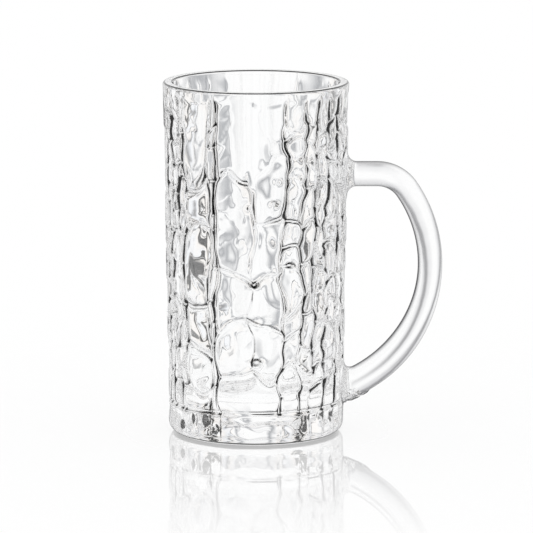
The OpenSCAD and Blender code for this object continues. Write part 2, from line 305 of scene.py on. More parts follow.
# The same from straight down, 0, to straight up, 1
LEVEL_COLOURS = (
    (0.50, (1, 1, 1)),
    (0.535, (0.8, 0.8, 0.81)),
    (0.565, (1, 1, 1)),
    (0.60, (0.7, 0.7, 0.71)),
    (0.64, (1, 1, 1)),
)
# The tent's colours as the slightly rough glass of the handle sees them, in both directions
SOFT_BAND_COLOURS = (
    (0.15, (1, 1, 1)),
    (0.32, (0.8, 0.8, 0.81)),
    (0.43, (0.42, 0.42, 0.43)),
    (0.5, (0.32, 0.32, 0.33)),
)
SOFT_LEVEL_COLOURS = (
    (0.52, (1, 1, 1)),
    (0.62, (0.8, 0.8, 0.81)),
    (0.8, (0.5, 0.5, 0.51)),
)
# The bands come back after this turn, and smooth waves of this fineness bend them
BAND_TURN = math.pi / 4
BAND_BEND = 0.15
BAND_BEND_SCALE = 5
WHITE = (1, 1, 1, 1)

# The bands on the floor are as seen from this height on the mug's axis
BAND_EYE = 0.08
# Between which distances from the axis the bands come in on the floor, and its gloss fades between two shares
FLOOR_BANDS = (0.08, 0.2)
FLOOR_GLOSS = (0.05, 0.23)
GLOSS_SHARES = (0.45, 0.03)
FLOOR_ROUGHNESS = 0.006
# How much of the floor's white is its own glow, so that the mug's shadow on it stays faint
FLOOR_GLOW = 0.75
# The floor lies this far under the mug, so that the two faces don't share a plane
FLOOR_DROP = 0.0002
FLOOR_SIDES = 96
# How far the camera sees, in metres
CAMERA_REACH = 50
# How often light may pass through or off the glass
GLASS_BOUNCES = 32
GLOSS_BOUNCES = 24


def length(name, description, millimetres):
    """A size that a user may change, given in millimetres and kept in metres."""
    return FloatProperty(
        name=name, description=description, default=millimetres * MILLIMETRE, unit="LENGTH", precision=4
    )


class CupSizes(bpy.types.PropertyGroup):
    """Sizes of the cup's plain form"""

    height: FloatProperty(
        name="Height",
        description="Height from the table to the top of the lip",
        default=CUP_HEIGHT,
        unit="LENGTH",
        precision=4,
    )
    rim_diameter: length("Rim diameter", "Outer diameter of the wall at the lip", 83)
    foot_diameter: length("Foot diameter", "Outer diameter of the wall at the table", 78.2)
    lip_thickness: length("Lip thickness", "Thickness of the wall at the lip", 4.7)
    heel_thickness: length("Heel thickness", "Thickness of the wall at the cup's floor", 6.4)
    floor_thickness: length("Floor thickness", "Thickness of the solid foot under the cup", 18)
    floor_rounding: length("Floor rounding", "Inner corner radius between the wall and the floor", 6)
    lip_rounding: length("Lip rounding", "Rounding of the lip's two edges", 1.3)
    foot_rounding: length("Foot rounding", "Rounding of the foot's outer edge", 4.6)
    ring_width: length("Ring width", "Width of the flat ring that the mug stands on", 4)
    punt_depth: length("Punt depth", "Depth of the shallow hollow under the foot", 2)


class BarkSizes(bpy.types.PropertyGroup):
    """Sizes of the bark relief on the cup's wall"""

    foot_band: length("Foot band", "Height of the plain band above the table", 14.4)
    rim_band: length("Rim band", "Height of the plain band under the lip", 3)
    furrow_depth: length("Furrow depth", "Depth of the upright furrows", 1.35)
    furrow_width: length("Furrow width", "Distance from a furrow's bottom to its shoulder", 0.6)
    crack_depth: length("Crack depth", "Depth of the cross cracks", 1.1)
    crack_width: length("Crack width", "Distance from a crack's bottom to its shoulder", 0.6)
    crown: length("Crown", "How far each strip bulges between its furrows", 0.5)
    wander: length("Wander", "How far a furrow wanders to either side", 1.4)
    long_wave: length("Long wave", "Height of the furrows' slow wave", 58)
    short_wave: length("Short wave", "Height of the furrows' quick wave", 22.5)
    swell: length("Swell", "Swell of the glass over several strips", 0.3)
    swell_wave: length("Swell wave", "Height of the swell's wave", 47)


class HandleSizes(bpy.types.PropertyGroup):
    """Sizes of the drawn handle"""

    arm_height: length("Arm height", "Height of the upper arm's middle", 116.3)
    finger_gap: length("Finger gap", "Clear width where the handle is widest", 32.2)
    bow_height: length("Bow height", "Height of the handle's furthest point", 75.6)
    bow_radius: length("Bow radius", "Radius of the long bow, at its middle", 59.5)
    corner_radius: length("Corner radius", "Radius of the upper corner, at its middle", 16)
    thickness: length("Thickness", "Thickness from the finger side to the outside", 10.9)
    width: length("Width", "Width from the left to the right", 14.6)
    tail_growth: length("Tail growth", "How much thicker the lower end is", 1.8)
    root_rounding: length("Root rounding", "Fillet where the handle flows into the wall", 4.2)
    crinkle: length("Crinkle", "Height of the crinkled skin under the lower root", 1.1)


class GlassLook(bpy.types.PropertyGroup):
    """Finish of the clear glass"""

    tint: FloatVectorProperty(
        name="Tint", description="Colour of the glass", subtype="COLOR", default=(0.997, 0.999, 1.0)
    )
    ior: FloatProperty(name="Index", description="Refractive index of the glass", default=1.52)
    ripple: length("Ripple", "Height of the faint ripples left by the mould", 0.02)
    handle_ripple: length("Handle ripple", "Height of the soft waves left by drawing the handle", 0.25)


class StageLook(bpy.types.PropertyGroup):
    """The white studio round the mug"""

    floor_radius: length("Floor radius", "Radius of the studio floor", 6000)
    camera_distance: length("Camera distance", "Level distance from the mug's axis to the camera", 2200)
    camera_height: length("Camera height", "Height of the camera above the table", 452.3)
    aim_side: length("Aim side", "How far beside the axis the camera aims, towards the handle", 4.71)
    aim_height: length("Aim height", "Height of the point that the camera aims at", 74.23)
    lens: FloatProperty(
        name="Lens", description="Focal length in millimetres", default=336.8, unit="CAMERA"
    )


# Shared form


def smooth(x):
    """0 up to 0, 1 from 1 on, and a smooth step between."""
    t = np.clip(x, 0, 1)
    return t * t * (3 - 2 * t)


def chance(seed):
    """A number from -1 to 1 that depends on the seed alone. Odd factors in seeds keep places apart."""
    value = np.sin(np.asarray(seed, float) * 127.1 + 31.7) * 4375.85
    return 2 * (value - np.floor(value)) - 1


def ripple(place, across, along, seed):
    """Smooth waves from -1 to 1, about this far from crest to crest across the wall and along it."""
    grid = place / np.array([across, across, along]) + seed
    corner = np.floor(grid)
    t = smooth(grid - corner)
    total = 0.0
    for x in (0, 1):
        for y in (0, 1):
            for z in (0, 1):
                weight = (
                    (t[..., 0] if x else 1 - t[..., 0])
                    * (t[..., 1] if y else 1 - t[..., 1])
                    * (t[..., 2] if z else 1 - t[..., 2])
                )
                at = corner + (x, y, z)
                own = at[..., 0] * 1.3 + at[..., 1] * 7.7 + at[..., 2] * 19.9 + seed
                total = total + weight * chance(own)
    return total


def waves(place, *rows):
    """The sum of smooth waves: how strong, how long across and along the wall, and a seed."""
    return sum(strength * ripple(place, across, along, seed) for strength, across, along, seed in rows)


def wobble(along, seed):
    """Smooth waves from -1 to 1 along a line."""
    start = np.floor(along)
    t = smooth(along - start)
    return chance(start + seed) * (1 - t) + chance(start + 1 + seed) * t


def wall_radius(cup, z):
    """Radius of the plain wall at a height, before the relief is cut into it."""
    return (cup.foot_diameter + (cup.rim_diameter - cup.foot_diameter) * z / cup.height) / 2


def mean_radius(cup):
    """Radius of the plain wall half way up."""
    return (cup.rim_diameter + cup.foot_diameter) / 4


def on_round(radius, angle, z):
    """Points at a radius, an angle and a height round the cup's axis."""
    return np.stack(np.broadcast_arrays(radius * np.cos(angle), radius * np.sin(angle), z), axis=-1)


def within_turn(angle):
    """The same angle between minus and plus a half turn."""
    return (angle + math.pi) % (2 * math.pi) - math.pi


def round_angles(sides):
    """Angles of the points round the handle, from its outside on."""
    return -np.arange(sides) * 2 * math.pi / sides


def groove(away, width):
    """A crease between two pillowed plates: 1 at its bottom, and fading away from it."""
    return np.exp(-np.abs(away / width) ** GROOVE_FALL)


def kept_of(least, share):
    """From least to 1 as share goes from 0 to 1."""
    return least + (1 - least) * share


# Handle


class Bow:
    """The handle's middle line, a level arm, a tight corner and a long bow, and the surface round it."""

    def __init__(self, cup, handle):
        self.cup = cup
        self.handle = handle
        half = handle.thickness / 2
        bow_x = wall_radius(cup, handle.bow_height) + handle.finger_gap + half
        self.bow_centre = np.array([bow_x - handle.bow_radius, handle.bow_height])
        corner_z = handle.arm_height - handle.corner_radius
        rise = corner_z - handle.bow_height
        reach = math.sqrt((handle.bow_radius - handle.corner_radius) ** 2 - rise**2)
        self.corner_centre = np.array([self.bow_centre[0] + reach, corner_z])
        self.join = math.atan2(rise, reach)
        self.start = wall_radius(cup, 0) - half
        self.arm_length = self.corner_centre[0] - self.start
        self.corner_length = handle.corner_radius * (math.pi / 2 - self.join)
        wall_cosine = (wall_radius(cup, 0) - self.bow_centre[0]) / handle.bow_radius
        self.tail_height = handle.bow_height - handle.bow_radius * math.sin(math.acos(wall_cosine))
        sunk_cosine = (self.start - self.bow_centre[0]) / handle.bow_radius
        self.length = self.arm_length + self.corner_length + handle.bow_radius * (
            self.join + math.acos(sunk_cosine)
        )

    def middle(self, along):
        """Points of the middle line, as x and z, and its direction there."""
        handle = self.handle
        corner_turn = math.pi / 2 - (along - self.arm_length) / handle.corner_radius
        bow_turn = self.join - (along - self.arm_length - self.corner_length) / handle.bow_radius
        on_arm = along < self.arm_length
        on_corner = along < self.arm_length + self.corner_length
        turn = np.where(on_arm, math.pi / 2, np.where(on_corner, corner_turn, bow_turn))
        bend_x = np.where(on_corner, self.corner_centre[0], self.bow_centre[0])
        centre_x = np.where(on_arm, self.start + along, bend_x)
        centre_z = np.where(on_corner, self.corner_centre[1], self.bow_centre[1])
        radius = np.where(on_corner, handle.corner_radius, handle.bow_radius)
        x = centre_x + np.where(on_arm, 0, radius * np.cos(turn))
        z = centre_z + radius * np.sin(turn)
        return x, z, turn - math.pi / 2

    def point(self, along, round_angle, fillet):
        """Points of the surface. fillet is how far it stands out there, as a share of the root's rounding."""
        handle = self.handle
        x, z, heading = self.middle(along)
        tail = smooth((handle.bow_height - z) / (handle.bow_height - self.tail_height))
        square = (
            np.abs(np.cos(round_angle)) ** GRIP_POWER + np.abs(np.sin(round_angle)) ** GRIP_POWER
        ) ** (1 / GRIP_POWER)
        out = np.cos(round_angle) / square
        side = np.sin(round_angle) / square
        flare = fillet * self.kept(tail, out) * handle.root_rounding
        half = (handle.thickness + handle.tail_growth * tail) / 2 + flare
        return np.stack(
            [
                x - half * out * np.sin(heading),
                (handle.width / 2 + flare) * side,
                z + half * out * np.cos(heading),
            ],
            axis=-1,
        )

    def kept(self, tail, out):
        """Share of the root's rounding that is kept: less on the outside of the lower root."""
        return 1 - (1 - TAIL_FILLET_SHARE) * tail * np.maximum(out, 0)

    def wall_gap(self, points):
        """Distance of points from the plain wall."""
        return np.hypot(points[..., 0], points[..., 1]) - wall_radius(self.cup, points[..., 2])

    def root_ring(self, round_angle, turn, lower):
        """Where the surface is as far from the wall as the fillet's quarter circle at this turn asks."""
        fillet = 1 - math.sin(turn)
        near = np.full_like(round_angle, self.length if lower else 0)
        far = np.full_like(round_angle, self.length * (LOWER_SEARCH if lower else UPPER_SEARCH))
        out = np.cos(round_angle)
        kept = self.kept(1.0 if lower else 0.0, out)
        goal = kept * self.handle.root_rounding * (1 - math.cos(turn))
        for _ in range(HALVINGS):
            between = (near + far) / 2
            outside = self.wall_gap(self.point(between, round_angle, fillet)) > goal
            far = np.where(outside, between, far)
            near = np.where(outside, near, between)
        return far

    def rings(self, sides, fillet_rings, long_rings):
        """Rings of points from the upper root to the lower one."""
        round_angle = round_angles(sides)
        turns = np.linspace(0, math.pi / 2, fillet_rings)
        upper = [(self.root_ring(round_angle, turn, False), 1 - math.sin(turn)) for turn in turns]
        lower = [(self.root_ring(round_angle, turn, True), 1 - math.sin(turn)) for turn in turns]
        first, last = upper[-1][0], lower[-1][0]
        middle = [(first + (last - first) * share, 0) for share in np.linspace(0, 1, long_rings)[1:-1]]
        rows = upper + middle + lower[::-1]
        return [self.crinkled(along, round_angle, fillet) for along, fillet in rows]

    def crinkled(self, along, round_angle, fillet):
        """Points of the surface with the crinkled skin under the lower root, where it was pressed on hot."""
        points = self.point(along, round_angle, fillet)
        x, z, _ = self.middle(along + 0 * round_angle)
        outward = points - np.stack([x, 0 * x, z], axis=-1)
        outward = outward / np.linalg.norm(outward, axis=-1, keepdims=True)
        wedge = self.wedge(round_angle, points)
        near = smooth(self.wall_gap(points) / CRINKLE_START) * smooth(CRINKLE_RISE * wedge)
        fold = 1 - 2 * np.abs(waves(points, CRINKLE_FOLDS))
        height = self.handle.crinkle * (CRINKLE_BASE + (1 - CRINKLE_BASE) * fold)
        return points + outward * (near * height)[:, None]

    def wedge(self, round_angle, points):
        """Above 0 in the wedge of crinkled skin, which narrows from the wall along the handle's underside."""
        under = np.cos(round_angle) + CRINKLE_SPREAD - CRINKLE_TAPER * self.wall_gap(points) / CRINKLE_REACH
        return np.where(points[..., 2] < self.handle.bow_height, under, 0)


class RootOutline:
    """The outline of one of the handle's roots on the wall, to fit the cup's mesh to it."""

    def __init__(self, cup, ring):
        self.mean = mean_radius(cup)
        side = np.arctan2(ring[:, 1], ring[:, 0]) * self.mean
        self.middle_z = (ring[:, 2].max() + ring[:, 2].min()) / 2
        up = ring[:, 2] - self.middle_z
        turn = np.arctan2(side, up)
        order = np.argsort(turn)
        self.turns = turn[order]
        self.reaches = np.hypot(side, up)[order]

    def share(self, angle, z):
        """How far out a place on the wall is: 0 in the root's middle and 1 on its outline."""
        side = angle * self.mean
        up = z - self.middle_z
        reach = np.interp(np.arctan2(side, up), self.turns, self.reaches, period=2 * math.pi)
        return np.hypot(side, up) / reach


# Bark relief


class Bark:
    """The relief of the cup's outer wall."""

    def __init__(self, cup, bark, roots):
        self.cup = cup
        self.bark = bark
        self.roots = roots
        self.low = bark.foot_band
        self.high = cup.height - bark.rim_band
        self.tall = self.high - self.low
        self.mean = mean_radius(cup)

    def share(self, z):
        """Share of the bark's height."""
        return np.clip((z - self.low) / self.tall, 0, 1)

    def furrow_angle(self, number, z):
        """Angle of a furrow at a height. Furrows past the last one lie in the other half turn."""
        place, lean, wave, _, _ = FURROW_SHARES[number % STRIPS]
        held = np.clip(z, self.low, self.high)
        slow = np.sin(2 * math.pi * (held / self.bark.long_wave + wave))
        quick = np.sin(2 * math.pi * (held / self.bark.short_wave + 2 * wave))
        drift = lean * self.share(z) ** 3 + slow + SHORT_WAVE_SHARE * quick
        turn = 2 * math.pi * FIRST_SHARE + math.pi * (number // STRIPS + place)
        own = 3.7 * (number % (2 * STRIPS))
        room = min(1, self.strip_width(number - 1) / JOG_ROOM, self.strip_width(number) / JOG_ROOM)
        jog = room * JOG * sum(share * wobble(held / wave, own + seed) for share, wave, seed in JOG_WAVES)
        bow = 0.0
        for strip, way in ((number - 1, 1), (number, -1)):
            bow = bow + way * self.plate_bulge(strip, held) * min(self.strip_width(strip), BULGE_WIDTH)
        aside = self.bark.wander * drift / (1 + SHORT_WAVE_SHARE) + jog + BULGE_SHARE * bow
        return turn + aside / self.mean

    def strip_width(self, number):
        """Width of the strip of bark after a furrow."""
        start = FURROW_SHARES[number % STRIPS][0]
        end = 1 if (number + 1) % STRIPS == 0 else FURROW_SHARES[(number + 1) % STRIPS][0]
        return (end - start) * math.pi * self.mean

    def furrow_strength(self, number, z):
        """How strong a furrow is at a height: about 1 where it runs deep, and 0 past its ends."""
        _, _, _, start, end = FURROW_SHARES[number % STRIPS]
        share = self.share(z)
        above = 1 if start == 0 else smooth((share - start) / END_FADE_SHARE)
        below = 1 if end == 1 else smooth((end - share) / END_FADE_SHARE)
        own = SHALLOW_FURROWS.get(number % STRIPS, 1)
        change = FURROW_CHANGE * wobble(z / FURROW_CHANGE_WAVE, 5.3 * number + 2.1)
        knot = 1 - np.minimum(self.plate_bulge(number - 1, z), self.plate_bulge(number, z))
        return own * above * below * np.clip(FURROW_STRENGTH + change + KNOT_STRENGTH * knot, *FURROW_LIMITS)

    def plate_ends(self, number):
        """The cracks of a strip from the foot to the lip: share of the height, depth share, slant and bow."""
        strip = number % STRIPS
        number = number % (2 * STRIPS)
        shares = (0.0, *CRACK_SHARES[strip], 1.0)
        ends = []
        for count, (start, end) in enumerate(zip(shares, shares[1:])):
            if count:
                slant = SLANT_SHARES[(3 * strip + count - 1) % len(SLANT_SHARES)]
                seed = 7.1 * number + 3.3 * count
                depth = MAIN_DEPTH[0] + MAIN_DEPTH[1] * chance(seed + 1)
                ends.append((start, depth, slant, BOW_SHARE * chance(seed - 3.3)))
            pieces = 1
            if self.strip_width(number) < NARROW_STRIP:
                pieces = max(1, round((end - start) * self.tall / SHORT_PLATE))
            for piece in range(1, pieces):
                seed = 13.7 * number + 2.9 * count + 5.3 * piece
                share = start + (end - start) * (piece + SHORT_STRAY_SHARE * chance(seed)) / pieces
                depth = SHORT_DEPTH[0] + SHORT_DEPTH[1] * chance(seed + 3)
                slant = SHORT_SLANT_SHARE * chance(seed + 1)
                ends.append((share, depth, slant, SHORT_BOW_SHARE * chance(seed + 2)))
        return ends

    def plate_bulge(self, number, z):
        """How far a strip's plates bulge sideways at a height: 0 at their ends and 1 in their middle."""
        heights = np.array([0.0, *(end[0] for end in self.plate_ends(number)), 1.0])
        spot = np.interp(self.share(z), heights, np.arange(len(heights)))
        return np.abs(np.sin(math.pi * spot)) ** BULGE_POWER

    def depth(self, number, across, angle, z):
        """Depth of the relief at shares of a strip's width."""
        bark = self.bark
        width = self.strip_width(number)
        domed = number % STRIPS == DOMED_STRIP
        wide = width > NARROW_STRIP and not domed
        place = on_round(self.mean, angle, z)
        left = self.furrow_strength(number, z)
        right = self.furrow_strength(number + 1, z)
        breadth = bark.furrow_width * (1 + waves(place, FURROW_WIDTH_WAVE))
        furrow = np.maximum(
            left * groove(width * across, breadth),
            right * groove(width * (1 - across), breadth),
        )
        furrow = furrow * (1 - FURROW_DEPTH_WAVE[0] + waves(place, FURROW_DEPTH_WAVE))
        crack_width = bark.crack_width * (BROAD_CRACK if number % STRIPS in BROAD_CRACK_STRIPS else 1)
        stray = waves(place, WIDE_STRAY_WAVE if wide else STRAY_WAVE)
        least = CRACK_STRENGTH if domed else CRACK_LIMITS[0]
        strength = np.clip(CRACK_STRENGTH + waves(place, CRACK_WAVE), least, CRACK_LIMITS[1])
        crack = np.zeros_like(z)
        below = np.full_like(z, self.low)
        above = np.full_like(z, self.high)
        plate = np.zeros_like(z)
        for share, deep, slant, bow in self.plate_ends(number):
            bend = slant * (across - 0.5) + bow * (1 - (2 * across - 1) ** 2)
            height = self.low + self.tall * share + bend * width + stray
            crack = np.maximum(crack, deep * strength * groove(z - height, crack_width))
            below = np.where(z > height, height, below)
            above = np.where((z <= height) & (above == self.high), height, above)
            plate = plate + (z > height)
        cut = bark.furrow_depth - (1 - furrow) * (bark.furrow_depth - crack * bark.crack_depth)
        reach = min(width / 2, PILLOW_REACH * (DOMED_REACH if domed else 1))
        aside = width * np.minimum(across + (1 - left), (1 - across) + (1 - right))
        beside = np.clip(1 - aside / reach, 0, 1)
        beyond = np.clip(1 - np.minimum(z - below, above - z) / reach, 0, 1)
        edge = (beside**3 + beyond**3) ** (1 / 3)
        pillow = np.clip(edge, 0, PILLOW_LIMIT) ** PILLOW_POWER * bark.crown * (DOMED_CROWN if domed else 1)
        raised = chance(2.7 * number + 9.1 * plate)
        tilted = chance(8.3 * number + 4.7 * plate) * (across - 0.5)
        lift = smooth(1 - edge) * (raised + tilted) * PLATE_LIFT
        skin = waves(place, *(DOMED_SKIN if domed else WIDE_SKIN if wide else NARROW_SKIN))
        form = cut + pillow + lift + skin * (1 - FURROW_CALM * furrow)
        return form + self.swell(angle, z) + self.pits(angle, z)

    def pits(self, angle, z):
        """The pits and soft hollows, each as round as a bell."""
        turned = within_turn(angle)
        depth = np.zeros_like(z)
        for at, height, half_width, half_height, deep in PITS:
            aside = (turned - math.radians(at)) * self.mean / (half_width * MILLIMETRE)
            above = (z - height * MILLIMETRE) / (half_height * MILLIMETRE)
            depth = depth + deep * MILLIMETRE * np.exp(-(aside**2) - above**2)
        return depth

    def swell(self, angle, z):
        """The slow swell of the glass over several strips."""
        wave = 2 * math.pi * z / self.bark.swell_wave
        lobes = np.sin(SWELL_LOBES * angle + SWELL_TURN_SHARE * wave)
        return self.bark.swell / 2 * (1 + lobes * np.sin(wave))

    def off_roots(self, angle, z):
        """0 under a root of the handle, and 1 clear of it."""
        turned = within_turn(angle)
        left = np.ones_like(z)
        for root in self.roots:
            left = np.minimum(left, smooth((root.share(turned, z) - 1) / LAND_FADE_SHARE))
        return left

    def columns(self):
        """Every column of points, as its strip and its share across it, closest at the furrows."""
        numbers, shares = [], []
        for number in range(2 * STRIPS):
            middle = (self.furrow_angle(number, self.low) + self.furrow_angle(number + 1, self.low)) / 2
            pitch = FRONT_PITCH if math.sin(middle) < FRONT_SINE else BACK_PITCH
            count = max(FEWEST_COLUMNS, round(self.strip_width(number) / pitch))
            even = np.arange(count) / count
            eased = (1 - np.cos(math.pi * even)) / 2
            numbers.append(np.full(count, number))
            shares.append((1 - CROWDING) * even + CROWDING * eased)
        return np.concatenate(numbers), np.concatenate(shares)


# Cup


def quarter(steps):
    """Angles of a quarter turn, without its first one."""
    return np.linspace(0, math.pi / 2, steps + 1)[1:]


def outer_rows(cup, bark):
    """Height, how far the rounded edges draw in, and the relief's share, from the table to the lip."""
    rows = [(0.0, cup.foot_rounding, 0.0)]
    for turn in quarter(FOOT_ROUNDING_ROWS):
        up = cup.foot_rounding * (1 - math.cos(turn))
        drawn_in = cup.foot_rounding * (1 - math.sin(turn))
        rows.append((up, drawn_in, FOOT_FURROW_SHARE * turn / (math.pi / 2)))
    low = bark.foot_band
    high = cup.height - bark.rim_band
    fade = 2 * bark.crack_width
    for z in np.linspace(cup.foot_rounding, low - fade, FOOT_BAND_ROWS + 1)[1:]:
        rows.append((z, 0.0, FOOT_FURROW_SHARE))
    step = (high - low) / BARK_ROWS
    z = low - fade + step
    while z < low:
        rows.append((z, 0.0, kept_of(FOOT_FURROW_SHARE, smooth((z - low) / fade + 1))))
        z += step
    for z in np.linspace(low, high, BARK_ROWS + 1):
        rows.append((z, 0.0, kept_of(RIM_FURROW_SHARE, smooth((high - z) / (3 * fade)))))
    for z in np.linspace(high, cup.height - cup.lip_rounding, RIM_ROWS + 1)[1:]:
        share = (cup.height - cup.lip_rounding - z) / (bark.rim_band - cup.lip_rounding)
        rows.append((z, 0.0, RIM_FURROW_SHARE * share))
    for turn in quarter(LIP_ROWS):
        up = cup.height - cup.lip_rounding * (1 - math.sin(turn))
        rows.append((up, cup.lip_rounding * (1 - math.cos(turn)), 0.0))
    return np.array(rows)


def bore_profile(cup):
    """Radius and height from the inner edge of the lip down to the middle of the cup's floor."""
    mouth = cup.rim_diameter / 2 - cup.lip_thickness
    low = wall_radius(cup, cup.floor_thickness) - cup.heel_thickness
    rounding = cup.lip_rounding
    points = [
        (mouth + rounding * (1 - math.sin(turn)), cup.height - rounding * (1 - math.cos(turn)))
        for turn in np.linspace(0, math.pi / 2, LIP_ROWS)
    ]
    top_radius, top = points[-1]
    bottom = cup.floor_thickness + cup.floor_rounding
    for share in np.linspace(0, 1, BORE_ROWS + 1)[1:]:
        points.append((top_radius + (low - top_radius) * share, top + (bottom - top) * share))
    rounding = cup.floor_rounding
    for turn in quarter(FLOOR_ROUNDING_ROWS):
        points.append((low - rounding * (1 - math.cos(turn)), bottom - rounding * math.sin(turn)))
    flat = low - cup.floor_rounding
    for share in FLOOR_ROW_SHARES:
        points.append((flat * share, cup.floor_thickness))
    return np.array(points)


def punt_profile(cup):
    """Radius and height from the middle of the shallow hollow under the foot out to the ring it stands on."""
    edge = cup.foot_diameter / 2 - cup.foot_rounding - cup.ring_width
    ball = (edge**2 + cup.punt_depth**2) / (2 * cup.punt_depth)
    points = []
    for share in np.linspace(0, 1, PUNT_ROWS + 1)[1:]:
        radius = edge * share
        points.append((radius, math.sqrt(ball**2 - radius**2) - ball + cup.punt_depth))
    points.append((edge + cup.ring_width / 2, 0.0))
    return np.array(points)


def lay_mesh(name, rings, start, end):
    """A closed mesh through rings of points, with a middle point before the first ring and after the last."""
    rings = np.array(rings)
    count, around = rings.shape[:2]
    points = np.concatenate([rings.reshape(-1, 3), [start, end]])
    near = np.arange(around)
    after = np.roll(near, -1)
    below = np.arange(count - 1)[:, None] * around
    here, there = below + near, below + after
    quads = np.stack([here, there, there + around, here + around], axis=-1).reshape(-1, 4)
    first, last = count * around, count * around + 1
    top = (count - 1) * around
    pairs = list(zip(near.tolist(), after.tolist()))
    faces = quads.tolist()
    faces += [[first, b, a] for a, b in pairs]
    faces += [[last, top + a, top + b] for a, b in pairs]
    mesh = bpy.data.meshes.new(name)
    mesh.from_pydata(points.tolist(), [], faces)
    mesh.polygons.foreach_set("use_smooth", [True] * len(faces))
    mesh.update()
    piece = bpy.data.objects.new(name, mesh)
    bpy.context.collection.objects.link(piece)
    return piece, quads


def cup_rings(cup, bark_sizes, roots):
    """Rings of points from the middle of the foot, up the outside, over the lip and down the inside."""
    bark = Bark(cup, bark_sizes, roots)
    numbers, shares = bark.columns()
    rows = outer_rows(cup, bark_sizes)
    z = np.repeat(rows[:, :1], len(shares), axis=1)
    angle = np.empty_like(z)
    depth = np.empty_like(z)
    for number in range(2 * STRIPS):
        mine = numbers == number
        across = np.repeat(shares[mine][None, :], len(rows), axis=0)
        part = z[:, mine]
        left, right = bark.furrow_angle(number, part), bark.furrow_angle(number + 1, part)
        angle[:, mine] = left * (1 - across) + right * across
        depth[:, mine] = bark.depth(number, across, angle[:, mine], part)
    band, crack = bark_sizes.foot_band, bark_sizes.crack_width
    ledge = LEDGE_DEPTH * bark_sizes.crack_depth * groove(z - band - crack, crack)
    depth = np.maximum(depth * rows[:, 2:3], np.where(z < band + 4 * crack, ledge, 0))
    foot = smooth((band - z) / FOOT_FADE) * smooth(z / (2 * cup.foot_rounding))
    skin = waves(on_round(bark.mean, angle, z), *FOOT_SKIN)
    depth = depth + foot * (skin + bark.pits(angle, z))
    inside, angle, z = fit_to_roots(roots, angle, z)
    depth = depth * bark.off_roots(angle, z)
    outer = on_round(wall_radius(cup, z) - rows[:, 1:2] - depth, angle, z)
    below = revolve(punt_profile(cup), angle[0])
    bore = revolve(bore_profile(cup), angle[-1])
    return np.concatenate([below, outer, bore]), len(below), inside


def revolve(profile, angle):
    """Rings of points of a plain round profile."""
    return on_round(profile[:, :1], angle, profile[:, 1:2])


def fit_to_roots(roots, angle, z):
    """Moves the points nearest to a root's outline onto it, and marks those inside it."""
    inside = np.zeros(z.shape, bool)
    turned = within_turn(angle)
    for root in roots:
        share = root.share(turned, z)
        near = np.abs(share - 1) < ROOT_SNAP
        turned = np.where(near, turned / share, turned)
        z = np.where(near, root.middle_z + (z - root.middle_z) / share, z)
        inside |= share < 1 + ROOT_SNAP
    return inside, turned, z


# Materials


class NodeSheet:
    """A material's or world's nodes, laid out from left to right as they are made."""

    def __init__(self, owner):
        owner.use_nodes = True
        self.tree = owner.node_tree
        self.tree.nodes.clear()

    def add(self, kind, inputs=None, **values):
        """A node with its settings, and for its inputs a constant or another node's output."""
        node = self.tree.nodes.new(kind)
        node.location = (220 * len(self.tree.nodes), 0)
        for name, value in values.items():
            setattr(node, name, value)
        for name, value in (inputs or {}).items():
            if isinstance(value, bpy.types.NodeSocket):
                self.tree.links.new(value, node.inputs[name])
            else:
                node.inputs[name].default_value = value
        return node

    def finish(self, surface, kind="ShaderNodeOutputMaterial"):
        """The output that shows the surface."""
        self.add(kind, {"Surface": surface})

    def math(self, operation, *values):
        return self.add("ShaderNodeMath", dict(enumerate(values)), operation=operation).outputs[0]

    def vector(self, operation, *values):
        node = self.add("ShaderNodeVectorMath", dict(enumerate(values)), operation=operation)
        return node.outputs["Value" if operation in ("DOT_PRODUCT", "LENGTH") else "Vector"]

    def noise(self, place, scale, detail):
        inputs = {"Vector": place, "Scale": scale, "Detail": detail}
        return self.add("ShaderNodeTexNoise", inputs).outputs["Fac"]

    def parts(self, vector):
        """The X, Y and Z of a vector."""
        return self.add("ShaderNodeSeparateXYZ", {0: vector}).outputs

    def geometry(self, name):
        return self.add("ShaderNodeNewGeometry").outputs[name]

    def mix(self, factor, first, second, **values):
        inputs = {"Factor": factor, "A": first, "B": second}
        return self.add("ShaderNodeMix", inputs, **values).outputs["Result"]

    def times(self, first, second):
        """One colour darkened by another."""
        return self.mix(1, first, second, data_type="RGBA", blend_type="MULTIPLY")

    def mix_surfaces(self, share, first, second):
        return self.add("ShaderNodeMixShader", {0: share, 1: first, 2: second}).outputs[0]

    def fade(self, value, between, shares):
        """From the first share to the second as the value goes from one limit to the other."""
        limits = dict(zip(("From Min", "From Max", "To Min", "To Max"), (*between, *shares)))
        return self.add("ShaderNodeMapRange", {"Value": value, **limits}).outputs[0]

    def ramp(self, value, stops):
        node = self.add("ShaderNodeValToRGB", {0: value})
        elements = node.color_ramp.elements
        while len(elements) < len(stops):
            elements.new(0.5)
        for element, (place, colour) in zip(elements, stops):
            element.position = place
            element.color = (*colour, 1)
        return node.outputs[0]

    def entering(self, value, stops):
        """Greys for a value where light enters the glass. Where light leaves it, the value counts as 0."""
        return self.ramp(self.where_entering(value), [(place, (light,) * 3) for place, light in stops])

    def where_entering(self, value):
        return self.math("MULTIPLY", value, self.math("SUBTRACT", 1.0, self.geometry("Backfacing")))


def plain_normal(sheet):
    """The normal that the plain round wall has at the place."""
    place = sheet.add("ShaderNodeTexCoord").outputs["Object"]
    return sheet.vector("NORMALIZE", sheet.vector("MULTIPLY", place, (1, 1, 0)))


def calmed(sheet, normal, share):
    """The normal, but where light leaves the glass, calmed towards the plain wall's normal."""
    inward = sheet.vector("MULTIPLY", plain_normal(sheet), (-1, -1, -1))
    factor = sheet.math("MULTIPLY", sheet.geometry("Backfacing"), share)
    return sheet.vector("NORMALIZE", sheet.mix(factor, normal, inward, data_type="VECTOR"))


